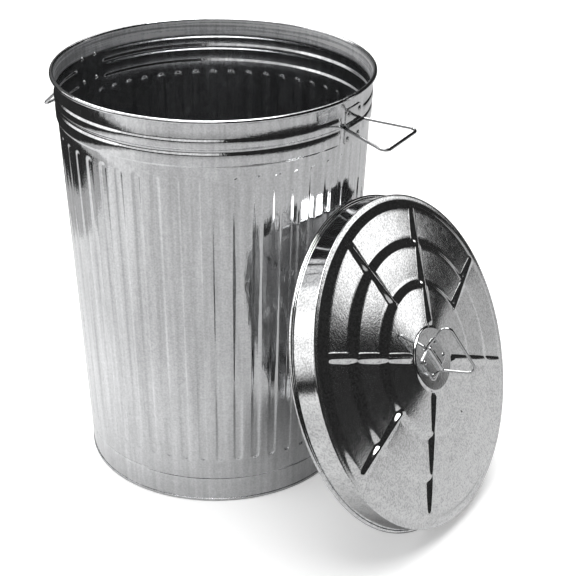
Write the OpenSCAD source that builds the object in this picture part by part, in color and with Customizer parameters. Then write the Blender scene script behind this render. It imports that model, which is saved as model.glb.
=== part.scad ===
// Galvanised dustbin: a tapered, fluted sheet-steel can with two drop handles,
// and its ribbed, stepped lid, which leans against the can beside it.
// The origin is the centre of the foot, on the floor. The handles lie along X.

/* [Can] */
// Height of the can, from the floor to the top of its rim curl
can_h = 664.5; // [600:0.5:720]
// Outer radius of the wall at the floor
foot_r = 217.5; // [205:0.5:225]
// Outer radius of the wall under the rim curl
mouth_r = 246.4; // [238:0.1:256]
// Thickness of the can's sheet steel
sheet_t = 0.7; // [0.6:0.05:0.9]
// Gap left between sheets that lie one on the other
lap_gap = 0.3; // [0.2:0.05:0.4]
// Diameter of the wire that the rim is rolled round
rim_wire_d = 5; // [4:0.1:6]

/* [Side seams] */
// Width of the lap on each side of a side seam
seam_lap = 9; // [7:0.5:10]
// Gap between the two sheets' edges on the outside of a seam
seam_gap = 0.4; // [0.3:0.05:0.6]

/* [Rolled beads] */
// Depth of the upper bead's crest below the top of the rim
bead_drop = 38; // [34:0.5:42]
// Distance between the two beads' crests
bead_pitch = 23; // [21:0.5:25]
// How far a bead stands out from the wall
bead_h = 2.3; // [1.6:0.1:2.8]
// Radius of the upper bead's rounding
upper_bead_r = 18; // [14:0.5:19]
// Radius of the lower bead's rounding
lower_bead_r = 32; // [26:0.5:34]
// Length over which a bead runs out at each end
bead_end = 8; // [5:0.5:12]
// Distance from a seam at which the beads stop, beside a handle
bead_stop = 38; // [34:1:50]

/* [Flutes] */
// Number of flutes in each half of the can
flute_count = 24; // [16:1:25]
// Radius of a flute's round groove
flute_r = 14; // [10:0.5:16]
// Depth of a flute
flute_depth = 2.4; // [1.8:0.1:3]
// Angle by which each half's flutes are turned from its middle
flute_turn = 1.2; // [0:0.1:2]
// Length over which a flute runs out at each end
flute_end = 5; // [3:0.5:8]
// Height of the flutes' lower ends above the floor
flute_foot = 78; // [66:1:100]
// Depth of the flutes' upper ends below the top of the rim
flute_drop = 88; // [80:1:100]

/* [Foot and base] */
// Height of the base pan's floor
base_z = 37; // [30:0.5:39]
// Thickness of the base pan's sheet
base_t = 0.8; // [0.6:0.05:1]
// Bend radius between the base pan's floor and its flange
base_bend = 4; // [2:0.5:6]
// Height of the fold that takes the body's lower edge
fold_h = 5; // [4:0.25:8]
// Height of the ring groove that holds the base pan down
swage_z = 45.5; // [44:0.5:52]
// Radius of the ring groove's rounding
swage_r = 3; // [2.5:0.25:3.5]
// Depth of the ring groove
swage_depth = 1.3; // [1:0.1:1.6]

/* [Side handles] */
// Depth of a side handle's pivot below the top of the rim
handle_drop = 49; // [47:0.5:54]
// Thickness of a handle clip's sheet
clip_t = 1.5; // [1.2:0.1:1.8]
// Width of a side clip, along its pivot
clip_w = 46; // [43:0.5:50]
// Height of a side clip
clip_h = 56; // [53:0.5:60]
// Radius of a clip's corners
clip_corner_r = 6; // [4:0.5:8]
// Distance between a side clip's rivets, along the pivot
rivet_pitch_w = 33; // [31:0.5:34]
// Distance between a side clip's rivets, across the pivot
rivet_pitch_h = 39; // [37:0.5:41]
// Diameter of a rivet's shank
rivet_d = 4.5; // [4:0.1:5]
// Diameter of a rivet's head
rivet_head_d = 8.4; // [7.6:0.1:9]
// Height of a rivet's head
rivet_head_h = 2.2; // [1.8:0.1:2.5]
// Wire diameter of a side handle
bail_wire_d = 5; // [4.4:0.1:5.6]
// Reach of a side handle from its pivot to its grip
bail_reach = 81; // [64:1:88]
// Width of a side handle at its grip, between the wires' centres
bail_w = 109; // [90:1:114]
// Bend radius of a side handle's grip corners
bail_corner_r = 11; // [8:1:20]
// Angle of the right handle, up from hanging straight down
right_bail_angle = 82.5; // [20:0.5:90]
// Angle of the left handle, up from hanging straight down
left_bail_angle = 43.5; // [20:0.5:90]

/* [Lid] */
// Thickness of the lid's sheet steel
lid_t = 0.7; // [0.6:0.05:0.9]
// Room between the rim curl and the inside of the lid's skirt
lid_room = 4.2; // [1.5:0.1:5]
// Height of the lid's skirt, from its wired edge's centre to the lid's face
skirt_h = 39.5; // [34:0.5:44]
// How far the skirt widens from the face to its wired edge
skirt_flare = 1.8; // [1:0.1:2.5]
// Diameter of the wire in the skirt's edge
skirt_wire_d = 3.8; // [3:0.1:4.6]
// Depth of the lid face's edge, folded down over the skirt
face_fold_h = 5; // [4:0.25:7]
// Width of the lap where the skirt strip's ends meet
skirt_lap = 14; // [10:1:18]
// Angle of the skirt's lap, round the lid from its right
skirt_seam_turn = 150; // [90:5:270]
// Width of the flat ring round the lid's face
face_ring = 8.5; // [7:0.5:10]
// Radial width of one stepped riser in the lid
riser_w = 15; // [12:0.5:16]
// Height of one stepped riser in the lid
riser_h = 6.8; // [5.5:0.1:7.2]
// Radial width of the outer flat panel
outer_panel_w = 46; // [43:0.5:48]
// Radial width of the middle flat panel
middle_panel_w = 50; // [47:0.5:52]
// Rise of a panel from its outer to its inner edge
panel_rise = 1.5; // [1:0.1:2]
// Rise of the innermost panel up to the boss
crown_rise = 3.5; // [2:0.25:4]
// Radius of the flat boss at the middle of the lid
boss_r = 48.5; // [44:0.5:50]
// Height of the boss above the panel round it
boss_h = 3; // [2.5:0.25:4]

/* [Lid ribs] */
// Number of ribs pressed into the lid, long and short in turn
rib_count = 8; // [4:2:10]
// Radius of a rib's rounding
rib_r = 6; // [5:0.25:7]
// Height of a rib's crest above the inner edge of a step
rib_clear = 1.5; // [1.2:0.1:2]
// Length over which a rib runs out at each end
rib_end = 5; // [3:0.5:8]
// Gap between the boss and the long ribs' inner ends
rib_start_gap = 8; // [7:0.5:12]
// Angle of the first long rib, round the lid from its right
rib_turn = 65; // [50:1:80]

/* [Lid handle] */
// Width of the lid's clip, along its pivot
lid_clip_w = 45; // [37:0.5:48]
// Length of the lid's clip, across its pivot
lid_clip_h = 57; // [55:0.5:62]
// Distance between the lid clip's rivets, along the pivot
lid_rivet_pitch_w = 29; // [26:0.5:30]
// Distance between the lid clip's rivets, across the pivot
lid_rivet_pitch_h = 44; // [40:0.5:45]
// Wire diameter of the lid's handle
lid_bail_wire_d = 4.5; // [4:0.1:5]
// Reach of the lid's handle from its pivot to its grip
lid_bail_reach = 48; // [44:1:60]
// Width of the lid's handle at its grip, between the wires' centres
lid_bail_w = 110; // [80:1:116]
// Bend radius of the lid handle's grip corners
lid_bail_corner_r = 10; // [8:1:14]
// Angle of the lid handle's pivot, round the lid from its right
lid_clip_turn = 112; // [100:1:124]
// Lean of the lid's handle from standing straight out of the lid
lid_bail_lean = 19; // [0:1:40]

/* [Lid's place] */
// Lean of the lid from upright, against the can
lid_lean = 22.6; // [18:0.1:28]
// Direction of the lid from the can, round from the right handle
lid_azimuth = -2.8; // [-20:0.1:20]
// Gap between the lid's edge and the can's wall
touch_gap = 0.3; // [0.2:0.05:0.5]

/* [Hidden] */

ring_fn = 96;      // facets round the can and the lid
tube_fn = 24;      // facets round wires and rivets
wire_gap = 0.08;   // running clearance round a handle's wire in its clip
curl_gap = 0.2;    // clearance round a wire in its rolled edge
rivet_gap = 0.06;  // clearance round a rivet's shank
bail_bend_r = 5;   // bend radius where a handle leaves its clip
bail_side_gap = 0.8;  // room between a clip's side and a handle's bend
bail_end_gap = 3;  // half the gap between a handle's two ends, in the clip
bend_bite = 0.1;   // how far a straight wire reaches into a bend
bead_ease = 0.05;  // step between a bead and its run-out
rib_fall = 4;      // how far a rib's rounding narrows where it runs out
bend_swell = 0.04; // how much thicker a wire is where it is bent

// Can, worked out from the sizes above
curl_r = rim_wire_d / 2 + curl_gap + sheet_t;
curl_z = can_h - curl_r;
taper = (mouth_r - foot_r) / curl_z;
wall_lean = atan(taper);
function wall_r(z) = foot_r + taper * z;
rim_x = wall_r(curl_z) - sheet_t + curl_r;
rim_out_r = rim_x + curl_r;
edge_z = base_t + lap_gap;
function arc_deg(len, r) = len / r * 180 / PI;
seam_half_a = arc_deg(seam_gap / 2, mouth_r);
lap_a = arc_deg(seam_lap, mouth_r);
flute_pitch_a = 180 / (flute_count + 1);
handle_z = can_h - handle_drop;
rivet_a = arc_deg(rivet_pitch_w / 2, wall_r(handle_z));

// Lid, in its own frame: +Z out of the face, the wired edge's centre at zero
skirt_curl_r = skirt_wire_d / 2 + curl_gap + lid_t;
skirt_in_r = rim_out_r + lid_room;
function skirt_r(z) = skirt_in_r + skirt_flare * (1 - z / skirt_h);
skirt_x = skirt_r(0) + skirt_curl_r;
face_r = skirt_r(skirt_h - face_fold_h) + 2 * lid_t + lap_gap;
riser_1_r = face_r - face_ring;
riser_2_r = riser_1_r - riser_w - outer_panel_w;
riser_3_r = riser_2_r - riser_w - middle_panel_w;
face_z = skirt_h + lid_t;
inner_1_r = riser_1_r - riser_w;
inner_2_r = riser_2_r - riser_w;
inner_3_r = riser_3_r - riser_w;
inner_1_z = face_z + riser_h;
inner_2_z = inner_1_z + panel_rise + riser_h;
inner_3_z = inner_2_z + panel_rise + riser_h;
boss_z = inner_3_z + crown_rise + boss_h;
rib_slope = (inner_3_z - inner_2_z) / (inner_2_r - inner_3_r);
rib_in_r = boss_r + boss_h + rib_start_gap;
rib_out_r = inner_1_r;
rib_mid_r = inner_3_r + riser_w / 2;
function rib_z(r) = inner_2_z + rib_clear - rib_slope * (r - inner_2_r);

// The lid stands on the floor on its wired edge and leans on the can's wall
lid_centre_z = skirt_x * cos(lid_lean) + skirt_curl_r;
lid_top_z = lid_centre_z + skirt_x * cos(lid_lean);
lid_centre_x = wall_r(lid_top_z) + (touch_gap + skirt_curl_r) / cos(wall_lean)
             + skirt_x * sin(lid_lean);

// ---------- shared shapes ----------

// Revolves a profile round the Z axis from angle a0 to angle a1
module sweep(a0, a1) {
    rotate([0, 0, a0]) rotate_extrude(angle = a1 - a0, $fn = ring_fn) children();
}

// Profile of a sheet edge rolled round a wire, tangent to the sheet at its left
module curl_profile(r, t) {
    difference() {
        circle(r = r, $fn = tube_fn);
        circle(r = r - t, $fn = tube_fn);
        polygon([[0, 0], [-2 * r, 0], [-r, -r * sqrt(3)]]);
    }
}

// Puts children on the can's wall, their Z pointing straight out of it
module on_wall(a, z) {
    rotate([0, 0, a]) translate([wall_r(z), 0, z]) rotate([0, 90 + wall_lean, 0]) children();
}

// Puts children at the four corners of a rivet pattern
module at_corners(x, y) {
    for (sx = [-1, 1], sy = [-1, 1]) translate([sx * x / 2, sy * y / 2, 0]) children();
}

// A rectangle with round corners, centred
module round_rect(x, y, r) {
    union() {
        square([x - 2 * r, y], center = true);
        square([x, y - 2 * r], center = true);
        for (sx = [-1, 1], sy = [-1, 1])
            translate([sx * (x / 2 - r), sy * (y / 2 - r)]) circle(r = r, $fn = tube_fn);
    }
}

// A bar along Z, from 0 to len, that runs out in a cone at each end: past an end
// it narrows by fall over a length of run, and a little further
module run_out_bar(r, len, fall, run) {
    rotate_extrude($fn = tube_fn) polygon([
        [0, -1.2 * run], [r - 1.2 * fall, -1.2 * run], [r, 0],
        [r, len], [r - 1.2 * fall, len + 1.2 * run], [0, len + 1.2 * run]]);
}

// A semi-tubular rivet: domed head on top at z = grip, rolled end below zero
module rivet(grip) {
    dome_r = (pow(rivet_head_d / 2, 2) + pow(rivet_head_h, 2)) / (2 * rivet_head_h);
    difference() {
        union() {
            translate([0, 0, -1.4]) cylinder(d = rivet_d, h = grip + 1.5, $fn = tube_fn);
            intersection() {
                translate([0, 0, grip + 0.05 + rivet_head_h - dome_r]) sphere(r = dome_r, $fn = 2 * tube_fn);
                translate([0, 0, grip + 0.05]) cylinder(d = 2 * rivet_head_d, h = rivet_head_h + 1, $fn = tube_fn);
            }
            translate([0, 0, -1.45]) cylinder(d1 = rivet_d + 1, d2 = rivet_d + 2.4, h = 1.4, $fn = tube_fn);
        }
        translate([0, 0, -2]) cylinder(d = rivet_d - 1.8, h = 2.6, $fn = tube_fn);
    }
}

// The hump of a clip, along Y, over a wire whose axis is at height z
module hump(w, wire_d, z) {
    out_r = wire_d / 2 + wire_gap + clip_t;
    rotate([90, 0, 0]) translate([0, 0, -w / 2]) linear_extrude(w) {
        intersection() {
            translate([0, z]) circle(r = out_r, $fn = tube_fn);
            translate([-out_r, z]) square([2 * out_r, out_r]);
        }
        translate([-out_r, lap_gap]) square([2 * out_r, z - lap_gap]);
    }
}

// The slot and bore for a wire whose axis is at height z, through a clip along Y
module wire_slot(w, wire_d, z) {
    bore_d = wire_d + 2 * wire_gap;
    translate([0, 0, z]) {
        rotate([90, 0, 0]) cylinder(d = bore_d, h = 2 * w, center = true, $fn = tube_fn);
        translate([-bore_d / 2, -w, -2 * w]) cube([bore_d, 2 * w, 2 * w]);
    }
}

// One bend of a wire in the XY plane, from heading a0 to heading a1, starting at p
module wire_bend(p, a0, a1, r, wire_d) {
    s = sign(a1 - a0);
    translate([p[0] - s * r * sin(a0), p[1] + s * r * cos(a0), 0])
        rotate([0, 0, s > 0 ? a0 - 90 : a1 + 90])
            rotate_extrude(angle = abs(a1 - a0), $fn = 3 * tube_fn)
                translate([r, 0]) circle(d = wire_d + bend_swell, $fn = tube_fn);
}

// A straight wire between two points in the XY plane, its ends just inside the bends
module wire_run(p, q, wire_d) {
    d = q - p;
    translate([p[0], p[1], 0]) rotate([0, 0, atan2(d[1], d[0])]) rotate([0, 90, 0])
        translate([0, 0, -bend_bite]) cylinder(d = wire_d, h = norm(d) + 2 * bend_bite, $fn = tube_fn);
}

// Angle at which a handle's leg spreads, so that its bend begins where the pivot ends
function leg_angle(run, reach, a = 15, n = 5) =
    n == 0 ? a : leg_angle(run, reach, atan2(run - bail_bend_r * tan(45 - a / 2), reach), n - 1);

// A drop handle in the XY plane: its pivot lies along Y through the origin, its grip
// at x = reach, and its two ends turn in towards each other inside the clip
module bail(clip_width, reach, width, corner_r, wire_d) {
    leave = clip_width / 2 + bail_side_gap;
    leg_a = leg_angle(width / 2 - leave, reach);
    t1 = bail_bend_r * tan(45 - leg_a / 2);
    t2 = corner_r * tan(45 + leg_a / 2);
    leg = [cos(leg_a), sin(leg_a)];
    knee_end = [0, leave + t1] + t1 * leg;
    corner_start = [reach, width / 2] - t2 * leg;
    for (side = [0, 1]) mirror([0, side, 0]) {
        wire_run([0, bail_end_gap], [0, leave], wire_d);
        wire_bend([0, leave], 90, leg_a, bail_bend_r, wire_d);
        wire_run(knee_end, corner_start, wire_d);
        wire_bend(corner_start, leg_a, -90, corner_r, wire_d);
    }
    wire_run([reach, t2 - width / 2], [reach, width / 2 - t2], wire_d);
}

// ---------- can ----------

// The can's plain tapered form, shrunk by inset, as a solid
module cone(inset, z0, z1, a0, a1) {
    sweep(a0, a1) polygon([[0, z0], [wall_r(z0) - inset, z0], [wall_r(z1) - inset, z1], [0, z1]]);
}

// The two rolled beads' forms over one half of the can, shrunk by inset, run out at their ends
module bead_forms(inset) {
    a = arc_deg(bead_stop + bead_end, mouth_r);
    for (i = [0, 1]) {
        bead_r = i == 0 ? upper_bead_r : lower_bead_r;
        r = bead_r - inset;
        z = can_h - bead_drop - i * bead_pitch;
        x = wall_r(z) + bead_h - bead_r;
        sweep(a, 180 - a) translate([x, z]) circle(r = r, $fn = 2 * tube_fn);
        for (side = [0, 1]) translate([0, 0, z]) mirror([side, 0, 0]) rotate([0, 0, a])
            translate([x, bead_ease, 0]) rotate([90, 0, 0])
                cylinder(r1 = r - bead_ease, r2 = r - 1.2 * bead_h, h = 1.2 * bead_end, $fn = 2 * tube_fn);
    }
}

// The flutes' forms over one half of the can, run out at their ends
module flute_forms(r) {
    z0 = flute_foot + flute_end;
    z1 = can_h - flute_drop - flute_end;
    for (i = [1 : flute_count]) rotate([0, 0, i * flute_pitch_a + flute_turn])
        translate([wall_r(z0) + flute_r - flute_depth, 0, z0]) rotate([0, wall_lean, 0])
            run_out_bar(r, (z1 - z0) / cos(wall_lean), flute_depth, flute_end);
}

// The ring groove above the base pan
module swage_form(r) {
    rotate_extrude($fn = ring_fn) translate([wall_r(swage_z) + swage_r - swage_depth, swage_z])
        circle(r = r, $fn = tube_fn);
}

// The strip under the other half's edge at a seam, joggled in by one sheet
module seam_tab() {
    z0 = swage_z + 3 * swage_r;
    z1 = curl_z - 3;
    outer = sheet_t + lap_gap;
    sweep(180 - lap_a, 180 + lap_a) polygon([
        [wall_r(z0) - outer - sheet_t, z0], [wall_r(z0) - outer, z0],
        [wall_r(z1) - outer, z1], [wall_r(z1) - outer - sheet_t, z1]]);
    sweep(180 - lap_a, 180 - lap_a * 0.8) polygon([
        [wall_r(z0) - outer - sheet_t, z0], [wall_r(z0) - sheet_t / 2, z0],
        [wall_r(z1) - sheet_t / 2, z1], [wall_r(z1) - outer - sheet_t, z1]]);
}

// Half of the can's wall, from the seam at angle 0 to the seam at 180
module half_sheet() {
    difference() {
        union() {
            difference() {
                union() {
                    cone(0, edge_z, curl_z, seam_half_a, 180 - seam_half_a);
                    bead_forms(0);
                }
                flute_forms(flute_r);
                swage_form(swage_r);
                difference() {
                    union() {
                        cone(sheet_t, 0, can_h, 0, 360);
                        bead_forms(sheet_t);
                    }
                    flute_forms(flute_r + sheet_t);
                    swage_form(swage_r + sheet_t);
                }
            }
            sweep(seam_half_a, 180 - seam_half_a) translate([rim_x, curl_z]) curl_profile(curl_r, sheet_t);
            seam_tab();
        }
        for (a = [rivet_a, 180 - rivet_a], s = [-1, 1])
            on_wall(a, handle_z + s * rivet_pitch_h / 2)
                translate([0, 0, -8]) cylinder(d = rivet_d + 2 * rivet_gap, h = 16, $fn = tube_fn);
    }
}

module front_sheet() {
    color("silver") rotate([0, 0, 180]) half_sheet();
}

module back_sheet() {
    color("silver") half_sheet();
}

// A pan whose flange turns out and up at the floor to hold the body's lower edge
module base_pan() {
    in_gap = sheet_t + lap_gap;
    channel_out = wall_r(0) + lap_gap;
    color("silver") rotate_extrude($fn = ring_fn) {
        difference() {
            polygon([[wall_r(0) - in_gap - base_t, 0], [channel_out + base_t, 0],
                     [channel_out + base_t + taper * fold_h, fold_h], [channel_out + taper * fold_h, fold_h],
                     [channel_out, base_t], [wall_r(0) - in_gap, base_t],
                     [wall_r(base_z) - in_gap, base_z - base_bend],
                     [wall_r(base_z) - in_gap - base_t, base_z - base_bend]]);
            translate([channel_out + base_t, 0]) difference() {
                square(2 * base_t, center = true);
                translate([-base_t, base_t]) circle(r = base_t, $fn = tube_fn);
            }
            translate([wall_r(0) - in_gap - base_t, 0]) difference() {
                square(2 * base_t, center = true);
                translate([base_t, base_t]) circle(r = base_t, $fn = tube_fn);
            }
        }
        translate([wall_r(base_z) - in_gap - base_bend, base_z - base_bend]) intersection() {
            difference() {
                circle(r = base_bend, $fn = tube_fn);
                circle(r = base_bend - base_t, $fn = tube_fn);
            }
            square(base_bend);
        }
        translate([0, base_z - base_t]) square([wall_r(base_z) - in_gap - base_bend, base_t]);
    }
}

module rim_wire() {
    color("gray") rotate_extrude($fn = ring_fn) translate([rim_x, curl_z])
        circle(d = rim_wire_d, $fn = tube_fn);
}

// A side clip on the wall at angle 0: a curved plate with a channel for the handle's wire
module side_clip() {
    axis_h = lap_gap + bail_wire_d / 2;
    on_wall(0, handle_z) difference() {
        union() {
            intersection() {
                rotate([0, -90 - wall_lean, 0]) translate([-wall_r(handle_z), 0, -handle_z])
                    sweep(-15, 15) polygon([
                        [wall_r(handle_z - clip_h) + lap_gap, handle_z - clip_h],
                        [wall_r(handle_z - clip_h) + lap_gap + clip_t, handle_z - clip_h],
                        [wall_r(handle_z + clip_h) + lap_gap + clip_t, handle_z + clip_h],
                        [wall_r(handle_z + clip_h) + lap_gap, handle_z + clip_h]]);
                translate([0, 0, -10]) linear_extrude(20) round_rect(clip_h, clip_w, clip_corner_r);
            }
            hump(clip_w, bail_wire_d, axis_h);
        }
        wire_slot(clip_w, bail_wire_d, axis_h);
        clip_holes();
    }
}

// Rivet holes of a side clip, in the frame of the wall at its pivot
module clip_holes() {
    rotate([0, -90 - wall_lean, 0]) translate([-wall_r(handle_z), 0, -handle_z])
        for (a = [-rivet_a, rivet_a], s = [-1, 1])
            on_wall(a, handle_z + s * rivet_pitch_h / 2)
                translate([0, 0, -8]) cylinder(d = rivet_d + 2 * rivet_gap, h = 16, $fn = tube_fn);
}

module side_rivets() {
    for (a = [-rivet_a, rivet_a], s = [-1, 1])
        on_wall(a, handle_z + s * rivet_pitch_h / 2)
            translate([0, 0, -sheet_t - 0.05]) rivet(sheet_t + lap_gap + clip_t + 0.05);
}

module side_bail(angle) {
    on_wall(0, handle_z) translate([0, 0, lap_gap + bail_wire_d / 2])
        rotate([0, -wall_lean - angle, 0])
            bail(clip_w, bail_reach, bail_w, bail_corner_r, bail_wire_d);
}

module right_handle_clip() { color("silver") side_clip(); }
module right_clip_rivets() { color("lightgray") side_rivets(); }
module right_handle_bail() { color("lightgray") side_bail(right_bail_angle); }
module left_handle_clip() { color("silver") rotate([0, 0, 180]) side_clip(); }
module left_clip_rivets() { color("lightgray") rotate([0, 0, 180]) side_rivets(); }
module left_handle_bail() { color("lightgray") rotate([0, 0, 180]) side_bail(left_bail_angle); }

// ---------- lid ----------

// Places the lid's own frame where the lid leans
module in_lid() {
    rotate([0, 0, lid_azimuth]) translate([lid_centre_x, 0, lid_centre_z])
        rotate([0, 90 - lid_lean, 0]) rotate([0, 0, 90]) children();
}

// Outline points of one smooth riser, from its outer edge up to its inner edge
function riser(r, z, w, h) = [for (i = [0 : 6]) [r - w * i / 6, z + h * (1 - cos(180 * i / 6)) / 2]];

// The lid's stepped form below its outer surface, lowered by inset, as a solid
module lid_form(inset) {
    top = concat(
        riser(riser_1_r, face_z, riser_w, riser_h),
        riser(riser_2_r, inner_1_z + panel_rise, riser_w, riser_h),
        riser(riser_3_r, inner_2_z + panel_rise, riser_w, riser_h),
        riser(boss_r + boss_h, inner_3_z + crown_rise, boss_h, boss_h));
    edge = [[0, -1], [face_r - inset, -1], [face_r - inset, face_z]];
    rotate_extrude($fn = ring_fn)
        polygon(concat(edge, top, [[0, boss_z]]));
}

// The ribs' forms, run out at their ends: long and short in turn
module rib_forms(r) {
    for (i = [0 : rib_count - 1]) {
        inner = i % 2 == 0 ? rib_in_r : rib_mid_r;
        run = rib_out_r - inner;
        rotate([0, 0, rib_turn + i * 360 / rib_count])
            translate([inner, 0, rib_z(inner) - rib_r]) rotate([0, 90 + atan(rib_slope), 0])
                run_out_bar(r, run / cos(atan(rib_slope)), rib_fall, rib_end);
    }
}

// The pressed face: steps, ribs and boss, with its edge folded down over the skirt
module lid_face() {
    color("silver") in_lid() difference() {
        union() { lid_form(0); rib_forms(rib_r); }
        union() {
            translate([0, 0, -lid_t]) lid_form(lid_t);
            rib_forms(rib_r - lid_t);
        }
        translate([0, 0, -2]) cylinder(r = face_r + 1, h = face_z - face_fold_h + 2, $fn = ring_fn);
        translate([0, 0, face_z]) rotate_extrude($fn = ring_fn) translate([face_r, 0]) difference() {
            square(2 * lid_t, center = true);
            translate([-lid_t, -lid_t]) circle(r = lid_t, $fn = tube_fn);
        }
        rotate([0, 0, lid_clip_turn - 90]) at_corners(lid_rivet_pitch_h, lid_rivet_pitch_w)
            translate([0, 0, boss_z - 6]) cylinder(d = rivet_d + 2 * rivet_gap, h = 12, $fn = tube_fn);
    }
}

// Profile of the skirt's sheet between two heights, moved in by inset
module skirt_profile(z0, z1, inset) {
    polygon([[skirt_r(z0) - inset, z0], [skirt_r(z0) - inset + lid_t, z0],
             [skirt_r(z1) - inset + lid_t, z1], [skirt_r(z1) - inset, z1]]);
}

// The skirt strip, lapped at its ends, with its free edge rolled round a wire
module lid_skirt() {
    gap_a = arc_deg(seam_gap / 2, skirt_x);
    lap_a = arc_deg(skirt_lap, skirt_x);
    step = lid_t + lap_gap;
    z0 = skirt_curl_r + 1;
    z1 = skirt_h - lap_gap;
    color("silver") in_lid() rotate([0, 0, skirt_seam_turn]) {
        sweep(gap_a, 360 - gap_a) {
            skirt_profile(0, z1, 0);
            translate([skirt_x, 0]) mirror([0, 1]) curl_profile(skirt_curl_r, lid_t);
        }
        sweep(-lap_a, lap_a) skirt_profile(z0, z1, step);
        sweep(-lap_a, -0.8 * lap_a) polygon([
            [skirt_r(z0) - step, z0], [skirt_r(z0) + lid_t / 2, z0],
            [skirt_r(z1) + lid_t / 2, z1], [skirt_r(z1) - step, z1]]);
    }
}

module lid_skirt_wire() {
    color("gray") in_lid() rotate_extrude($fn = ring_fn) translate([skirt_x, 0])
        circle(d = skirt_wire_d, $fn = tube_fn);
}

// Puts children on the boss, turned with the lid's clip: its pivot lies along Y
module on_boss() {
    in_lid() translate([0, 0, boss_z]) rotate([0, 0, lid_clip_turn - 90]) children();
}

module lid_handle_clip() {
    axis_h = lap_gap + lid_bail_wire_d / 2;
    color("silver") on_boss() difference() {
        union() {
            translate([0, 0, lap_gap]) linear_extrude(clip_t) round_rect(lid_clip_h, lid_clip_w, clip_corner_r);
            hump(lid_clip_w, lid_bail_wire_d, axis_h);
        }
        wire_slot(lid_clip_w, lid_bail_wire_d, axis_h);
        at_corners(lid_rivet_pitch_h, lid_rivet_pitch_w)
            translate([0, 0, -2]) cylinder(d = rivet_d + 2 * rivet_gap, h = 8, $fn = tube_fn);
    }
}

module lid_clip_rivets() {
    color("lightgray") on_boss() at_corners(lid_rivet_pitch_h, lid_rivet_pitch_w)
        translate([0, 0, -lid_t - 0.05]) rivet(lid_t + lap_gap + clip_t + 0.05);
}

module lid_handle_bail() {
    color("lightgray") on_boss() translate([0, 0, lap_gap + lid_bail_wire_d / 2])
        rotate([0, lid_bail_lean - 90, 0])
            bail(lid_clip_w, lid_bail_reach, lid_bail_w, lid_bail_corner_r, lid_bail_wire_d);
}

front_sheet();
back_sheet();
base_pan();
rim_wire();
right_handle_clip();
right_clip_rivets();
right_handle_bail();
left_handle_clip();
left_clip_rivets();
left_handle_bail();
lid_face();
lid_skirt();
lid_skirt_wire();
lid_handle_clip();
lid_clip_rivets();
lid_handle_bail();
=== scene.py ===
import math
import bpy
import bmesh
from mathutils import Matrix, Vector


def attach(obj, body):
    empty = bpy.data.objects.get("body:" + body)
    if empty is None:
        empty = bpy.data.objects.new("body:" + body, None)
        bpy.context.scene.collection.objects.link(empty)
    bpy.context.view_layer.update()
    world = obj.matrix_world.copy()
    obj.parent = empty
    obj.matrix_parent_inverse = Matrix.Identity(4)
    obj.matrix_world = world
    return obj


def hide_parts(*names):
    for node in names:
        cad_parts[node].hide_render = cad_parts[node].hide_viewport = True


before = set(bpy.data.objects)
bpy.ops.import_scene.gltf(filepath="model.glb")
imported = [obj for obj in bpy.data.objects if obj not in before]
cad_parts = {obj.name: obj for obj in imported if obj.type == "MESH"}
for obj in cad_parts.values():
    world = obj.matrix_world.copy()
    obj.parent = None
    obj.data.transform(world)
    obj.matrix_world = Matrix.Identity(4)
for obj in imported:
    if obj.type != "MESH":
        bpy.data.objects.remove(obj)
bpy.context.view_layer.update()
scene = bpy.context.scene
print("frame loaded")

# sizes are in metres, and angles in the dictionaries are in degrees


def shift(x, y, z):
    return Matrix.Translation((x, y, z))


def rotation(angle, axis):
    return Matrix.Rotation(angle, 4, axis)


def steps(low, high, count):
    return [low + (high - low) * i / count for i in range(count)]


# values from each mark to the next, in the number of steps beside the mark
def ladder(marks):
    values = []
    for (low, count), nextMark in zip(marks, marks[1:]):
        values += steps(low, nextMark[0], count)
    return values


def arcPoints(x, z, radius, start, end, count):
    turns = [math.radians(start + (end - start) * i / count) for i in range(count + 1)]
    return [(x + radius * math.cos(turn), 0, z + radius * math.sin(turn)) for turn in turns]


def smooth(x):
    x = min(max(x, 0.0), 1.0)
    return x * x * (3 - 2 * x)


def hill(x):
    return 0.5 + 0.5 * math.cos(math.pi * x) if abs(x) < 1 else 0.0


def drawLine(bm, points):
    verts = [bm.verts.new(p) for p in points]
    return verts + [bm.edges.new(pair) for pair in zip(verts, verts[1:])]


def onlyEdges(parts):
    return [e for e in parts if isinstance(e, bmesh.types.BMEdge)]


def onlyVerts(parts):
    return [v for v in parts if isinstance(v, bmesh.types.BMVert)]


def spinLine(bm, points, angle, count, close=False):
    line = drawLine(bm, points)
    bmesh.ops.spin(bm, geom=line, cent=(0, 0, 0), axis=(0, 0, 1), angle=angle, steps=count, use_merge=close)
    bmesh.ops.remove_doubles(bm, verts=bm.verts, dist=1e-6)


# turns the faces to look towards the Z axis, so that a wall grows away from it
def faceAxis(bm):
    total = 0.0
    for face in bm.faces:
        face.normal_update()
        middle = face.calc_center_median()
        total += face.calc_area() * face.normal.dot(Vector((middle.x, middle.y, 0)))
    if total > 0:
        bmesh.ops.reverse_faces(bm, faces=bm.faces)


def faceUp(bm):
    for face in bm.faces:
        face.normal_update()
    if sum(face.calc_area() * face.normal.z for face in bm.faces) < 0:
        bmesh.ops.reverse_faces(bm, faces=bm.faces)


def addMesh(bm, other):
    scratch = bpy.data.meshes.new("scratch")
    other.to_mesh(scratch)
    other.free()
    bm.from_mesh(scratch)
    bpy.data.meshes.remove(scratch)


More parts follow.
